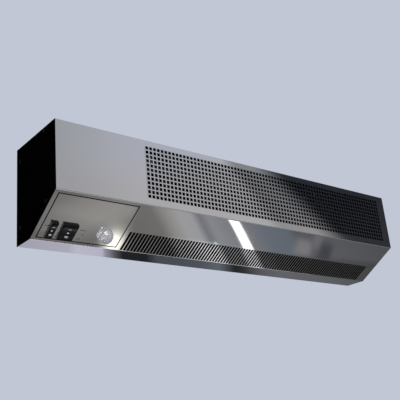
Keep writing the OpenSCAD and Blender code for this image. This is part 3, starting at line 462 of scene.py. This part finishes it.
def printed(name, quads, place, finish, body):
    """Thin raised marks as closed solids: corners are laid by place(x, v, height), and walls
    stand only on the outlines, where no other face of the mark follows."""
    points, faces, found = [], [], {}

    def corner(x, v):
        key = (round(x, 7), round(v, 7))
        if key not in found:
            found[key] = len(points)
            points.extend(place(x, v, height) for height in (MARK_RISE, -MARK_RISE))
        return found[key]

    edges = set()
    for quad in quads:
        loop = list(dict.fromkeys(corner(x, v) for x, v in quad))
        faces.append(loop)
        faces.append([i + 1 for i in reversed(loop)])
        edges.update(zip(loop, loop[1:] + loop[:1]))
    for i, j in sorted(edges):
        if (j, i) not in edges:
            faces.append([j, i, i + 1, j + 1])
    mesh = bpy.data.meshes.new(name)
    mesh.from_pydata(points, [], faces)
    mesh.validate()
    made = bpy.data.objects.new(name, mesh)
    bpy.context.scene.collection.objects.link(made)
    made.data.materials.append(finish)
    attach(made, body)
    return made


def rocker_marks(name, joint, body, scale):
    """A dash, a dot and a ring down one rocker, printed proud of its top."""
    pivot = Vector(joints[joint]["pos_m"])
    half = MARK_HALF * scale
    quads = bar_mark(MARK_SPACING, half, MARK_WIDTH / 2)
    quads += disc_mark(0.0, 0.62 * half, 0.58 * half)
    quads += oval_mark(-MARK_SPACING, 1.05 * half, 0.64 * half)

    def place(x, v, height):
        return (pivot + Vector((x, 0, 0)) - v * DOWN_SLOPE
                + (rocker_height(v) + height) * OUT_OF_SLOPE)

    return printed(name, quads, place, WHITE_INK, body)


def plate_marks():
    """Faint marks on the control plate: a dash left of the switches; a dash, a dot, a ring right."""
    quads = []
    for along, down, shape in PLATE_MARKS:
        quads += [[(x + along, v - down) for x, v in quad] for quad in shape]

    def place(x, v, height):
        return FRONT_FOOT + Vector((x, 0, 0)) - v * DOWN_SLOPE + height * OUT_OF_SLOPE

    return printed("plate_marks", quads, place, BROWN_INK, "casing")


# marks on the control plate: distance from the left end, distance down the slope, shape
PLATE_MARKS = [
    (21.2 * MM, 91.5 * MM, bar_mark(0.0, 3.6 * MM, 0.9 * MM)),
    (100.6 * MM, 91.3 * MM, bar_mark(0.0, 6.2 * MM, 1.2 * MM)),
    (104.0 * MM, 102.9 * MM, disc_mark(0.0, 2.6 * MM, 1.9 * MM)),
    (99.9 * MM, 115.3 * MM, oval_mark(0.0, 4.2 * MM, 3.0 * MM)),
]
plate_marks()
rocker_marks("fan_rocker_marks", "fan_switch_tilt", "fan_rocker", 0.85)
rocker_marks("heat_rocker_marks", "heat_switch_tilt", "heat_rocker", 1.0)

# ------------------------------------------------------------------- studio


def make_floor():
    """A pale floor under the unit, as far down as a doorway is high."""
    half = FLOOR_SIZE / 2
    level = CASE_LOW.z - FLOOR_DROP
    mesh = bpy.data.meshes.new("floor")
    mesh.from_pydata([(-half, -half, level), (half, -half, level), (half, half, level),
                      (-half, half, level)], [], [(0, 1, 2, 3)])
    floor = bpy.data.objects.new("floor", mesh)
    bpy.context.scene.collection.objects.link(floor)
    made, g, shader = material("floor_paint", Specular_IOR_Level=0.1)
    cloud = g.noise(0.6, 3.0)
    g.put(shader.inputs["Base Color"], g.mix(cloud, (0.52, 0.56, 0.655), (0.545, 0.58, 0.675)))
    g.put(shader.inputs["Roughness"], g.remap(cloud, 0.3, 0.7, 0.75, 0.85))
    floor.data.materials.append(made)
    floor.visible_glossy = False
    return floor


make_floor()


# tints of the room's light
WARM = (1.03, 0.99, 0.95)
PLAIN = (1.0, 1.0, 1.02)
COOL = (0.97, 1.0, 1.1)
BLUE = (0.9, 1.02, 1.22)
LILAC = (0.99, 0.97, 1.18)
# the pale floor, a doorway's shadow and the dim far side, which the sloping face mirrors
FLOOR_TONES = [
    (-60.5, dim(WARM, 0.2)), (-57.4, dim(WARM, 0.22)), (-56.2, dim(WARM, 0.355)),
    (-54.8, dim(PLAIN, 0.47)), (-53.6, dim(PLAIN, 0.46)), (-52.8, dim(COOL, 0.245)),
    (-51.9, dim(COOL, 0.35)), (-50.2, dim(COOL, 0.29)), (-48.2, dim(COOL, 0.245)),
    (-46.8, dim(BLUE, 0.205)), (-44.7, dim(BLUE, 0.19)), (-43.8, dim(COOL, 0.14)),
    (-41.5, dim(COOL, 0.148)), (-36.0, dim(COOL, 0.112)),
]
# what the bars between the slots mirror, likewise
SLAT_TONES = [
    (-60.5, 0.2), (-57.6, 0.2), (-56.6, 0.53), (-55.0, 0.75), (-53.9, 1.2), (-52.5, 1.2),
    (-51.9, 0.37), (-50.3, 0.35), (-49.9, 1.1), (-49.0, 1.1), (-48.6, 0.27), (-47.0, 0.155),
    (-44.0, 0.11), (-36.0, 0.075),
]
# what the control plate mirrors, from its left end to its right
PLATE_TONES = [
    (-5.2, 0.22), (-4.0, 0.25), (-3.0, 0.31), (-2.0, 0.345), (-1.0, 0.375), (0.0, 0.39),
    (1.0, 0.365), (2.0, 0.29), (3.0, 0.265),
]
# how that light falls off, from the plate's upper edge to its lower one
PLATE_FALL = [
    (-4.6, 0.62), (-4.1, 0.75), (-3.8, 1.0), (-3.4, 1.15), (-2.8, 1.12), (-1.9, 1.02),
    (-0.6, 0.98), (0.6, 0.84), (2.0, 0.72), (3.3, 0.68), (4.2, 0.5),
]
# zones of the room: where they lie around and up, each as low, high and soft edge in degrees
AHEAD = ((20.0, 70.0, 8.0), (6.0, 40.0, 8.0))
FOLD = ((60.0, 94.0, 8.0), (-34.0, 2.0, 6.0))
KNEE = ((114.0, 156.0, 8.0), (-54.0, -24.0, 5.0))
NEAR = ((80.0, 118.0, 12.0), (-75.0, -34.0, 4.0))
LOW_FAR = ((124.0, 158.0, 8.0), (-26.0, -4.0, 4.0))
# a long lamp and a glare on the floor
LAMP_SLANT = (-49.8, -48.92, 0.12)
LAMP_LIGHT = (1.9, 1.92, 1.95)
GLARE = (103.8, -58.05, 1.5, 0.6, (2.2, 2.12, 1.92), 1.0)
# soft patches on the floor: place around and up in degrees, half sizes, light
PATCHES = [
    (95.8, -43.5, 0.9, 0.65, (0.27, 0.265, 0.28)),
    (94.6, -42.5, 0.8, 0.4, (0.2, 0.2, 0.215)),
    (95.7, -41.75, 1.2, 0.5, (0.075, 0.08, 0.1)),
    (98.56, -50.34, 0.1, 0.12, (0.9, 1.1, 1.3)),
]
# what the flat strip mirrors, from its right end to its left
STRIP_TONES = [
    (126.0, dim(COOL, 0.1)), (130.0, dim(COOL, 0.145)), (133.8, dim(COOL, 0.16)),
    (135.2, dim(COOL, 0.13)), (136.8, dim(COOL, 0.035)), (137.5, dim(COOL, 0.025)),
    (138.8, dim(BLUE, 0.155)), (140.3, dim(BLUE, 0.11)), (143.9, dim(BLUE, 0.09)),
    (144.8, dim(BLUE, 0.02)), (146.8, dim(COOL, 0.022)), (147.4, dim(COOL, 0.115)),
    (148.2, dim(LILAC, 0.36)), (148.5, dim(LILAC, 0.62)), (150.6, dim(LILAC, 0.66)),
    (151.3, dim(LILAC, 0.55)), (155.2, dim(LILAC, 0.5)),
]
# lamps and a shadow that the dome mirrors, straight or by way of the plate: place around and up
# in degrees, half sizes, light
SOFTBOXES = [
    (-15.0, 16.0, 20.0, 6.0, (18.0, 17.5, 16.5)),
    (-102.0, -45.0, 14.0, 9.0, (5.0, 4.5, 4.3)),
    (-34.0, -54.0, 12.0, 7.0, (4.0, 3.9, 3.9)),
    (-60.0, -36.0, 26.0, 7.0, (4.5, 4.8, 6.2)),
    (-154.0, -80.0, 30.0, 3.2, (14.0, 14.0, 14.0)),
    (45.0, -68.0, 22.0, 5.0, (5.0, 4.8, 4.6)),
    (139.0, -49.0, 14.0, 7.0, (2.4, 2.4, 2.2)),
    (93.0, -10.0, 12.0, 9.0, (0.02, 0.02, 0.02)),
]


def tones(g, value, stops, tint=None):
    """A ramp over angles; plain levels take the tint."""
    low, high = stops[0][0], stops[-1][0]
    places = [((angle - low) / (high - low), dim(tint, level) if tint else level)
              for angle, level in stops]
    return g.ramp(g.remap(value, low, high, smooth=False), places)


def patch(g, light, around, up, place_around, place_up, half_wide, half_high, tone, hard=2.0):
    """The light with a soft-edged lamp or shadow mixed in; a higher hard gives firmer edges."""
    wide = g.times(g.plus(around, -place_around), 1.0 / half_wide)
    high = g.times(g.plus(up, -place_up), 1.0 / half_high)
    wide = g.math("POWER", g.math("ABSOLUTE", wide), 2 * hard)
    high = g.math("POWER", g.math("ABSOLUTE", high), 2 * hard)
    return g.mix(g.math("EXPONENT", g.times(g.plus(wide, high), -0.7)), light, tone)


def zone(g, around, up, place):
    """1 inside one of the room's zones, fading to 0 over its soft edges."""
    return g.times(g.window(around, *place[0]), g.window(up, *place[1]))


def make_world():
    """A flat pale surround for the camera, and a room of soft tones for the reflections."""
    world = bpy.data.worlds.new("studio")
    bpy.context.scene.world = world
    world.use_nodes = True
    g = Graph(world.node_tree)
    background = world.node_tree.nodes["Background"]
    direction = g.node("ShaderNodeTexCoord").outputs["Generated"]
    split = g.node("ShaderNodeSeparateXYZ")
    g.put(split.inputs[0], direction)
    x, y, z = split.outputs
    around = g.math("DEGREES", g.math("ARCTAN2", x, g.times(y, -1.0)))
    up = g.math("DEGREES", g.math("ARCSINE", z))
    room = g.mix(g.remap(up, -20.0, 60.0), (0.5, 0.52, 0.56), (0.56, 0.58, 0.62))

    # a wall whose light grows to the right, mirrored by the left half of the front
    along = g.remap(around, 27.0, 36.0)
    wall_low = g.mix(along, (0.465, 0.46, 0.465), (0.57, 0.56, 0.575))
    wall_high = g.mix(along, (0.46, 0.475, 0.51), (0.565, 0.585, 0.67))
    wall = g.mix(g.remap(up, 20.0, 25.5), wall_low, wall_high)
    room = g.mix(zone(g, around, up, AHEAD), room, wall)

    # the dark side of the room, mirrored by the right half of the front
    above = g.window(up, 6.0, 70.0, 4.0)
    dusk = g.times(g.remap(g.plus(around, g.times(up, 0.62)), 56.5, 57.8), above)
    dark = g.times(g.remap(g.plus(around, g.times(up, 0.8)), 62.7, 64.8), above)
    dusk_tone = g.mix(g.remap(up, 16.0, 21.0), (0.4, 0.4, 0.41), (0.315, 0.32, 0.34))
    room = g.mix(dusk, room, dusk_tone)
    dark_tone = g.mix(g.remap(up, 15.5, 19.0), (0.039, 0.04, 0.047), (0.029, 0.032, 0.042))
    room = g.mix(dark, room, dark_tone)

    # dim parts of the room, mirrored only by the casing's two bends
    bends = g.math("MAXIMUM", zone(g, around, up, FOLD), zone(g, around, up, KNEE))
    room = g.mix(bends, room, (0.13, 0.13, 0.14))

    # the floor's soft lights and shadows, mirrored by the sloping face
    slant = g.plus(up, g.times(g.plus(around, -95.3), -0.65))
    floor_light = tones(g, slant, FLOOR_TONES)
    for spot in PATCHES:
        floor_light = patch(g, floor_light, around, up, *spot)
    floor_light = g.mix(g.window(slant, *LAMP_SLANT), floor_light, LAMP_LIGHT)
    down = g.plus(g.plus(around, g.times(up, 0.294)), -84.43)
    floor_light = g.mix(g.remap(down, -0.8, -0.1), floor_light, tones(g, slant, SLAT_TONES, PLAIN))

    # the light on the control plate: brightest in its middle, with a glare low on its right
    place = g.plus(g.plus(up, g.times(down, 0.5)), 60.45)
    fall = tones(g, down, PLATE_FALL, (1, 1, 1))
    plate = g.mix(fall, (0, 0, 0), tones(g, place, PLATE_TONES, WARM))
    floor_light = g.mix(g.remap(up, -57.6, -57.1), plate, floor_light)
    floor_light = patch(g, floor_light, around, up, *GLARE)
    room = g.mix(zone(g, around, up, NEAR), room, floor_light)

    # lamps in the room, which only the dome mirrors
    for box in SOFTBOXES:
        room = patch(g, room, around, up, *box)

    # the far wall low down, mirrored by the flat strip
    room = g.mix(zone(g, around, up, LOW_FAR), room, tones(g, around, STRIP_TONES))

    path = g.node("ShaderNodeLightPath")
    mirrored = g.math("MAXIMUM", path.outputs["Is Glossy Ray"], path.outputs["Is Transmission Ray"])
    light = g.mix(mirrored, (0.6, 0.61, 0.63), room)
    g.put(background.inputs["Color"], g.mix(path.outputs["Is Camera Ray"], light, SURROUND))
    background.inputs["Strength"].default_value = 1.0


make_world()


def make_lamp(name, place, target, size, power):
    """A soft square lamp that shines from place towards target."""
    data = bpy.data.lights.new(name, "AREA")
    data.shape = "SQUARE"
    data.size = size
    data.energy = power
    lamp = bpy.data.objects.new(name, data)
    bpy.context.scene.collection.objects.link(lamp)
    lamp.location = place
    lamp.rotation_euler = (Vector(target) - Vector(place)).to_track_quat("-Z", "Y").to_euler()
    lamp.visible_glossy = False
    return lamp


make_lamp("key", (-1.6, -2.2, 1.4), (0, -0.1, 0), 1.2, 26.0)
make_lamp("fill", (1.8, -1.8, -0.6), (0, -0.1, 0), 1.6, 10.0)


def make_camera():
    """The photograph's view: a fitted place, turn and lens, with no shift."""
    forward = Vector((math.sin(CAMERA_YAW) * math.cos(CAMERA_PITCH),
                      math.cos(CAMERA_YAW) * math.cos(CAMERA_PITCH), math.sin(CAMERA_PITCH)))
    level = Vector((math.cos(CAMERA_YAW), -math.sin(CAMERA_YAW), 0))
    upright = level.cross(forward)
    right = level * math.cos(CAMERA_ROLL) + upright * math.sin(CAMERA_ROLL)
    top = right.cross(forward)
    data = bpy.data.cameras.new("camera")
    data.lens = CAMERA_LENS
    data.sensor_width = CAMERA_SENSOR
    data.sensor_fit = "HORIZONTAL"
    data.clip_start = 0.01
    camera = bpy.data.objects.new("camera", data)
    bpy.context.scene.collection.objects.link(camera)
    turn = Matrix((right, top, -forward)).transposed()
    camera.matrix_world = Matrix.Translation(CAMERA_PLACE) @ turn.to_4x4()
    bpy.context.scene.camera = camera


make_camera()
bpy.context.scene.view_settings.view_transform = "Standard"
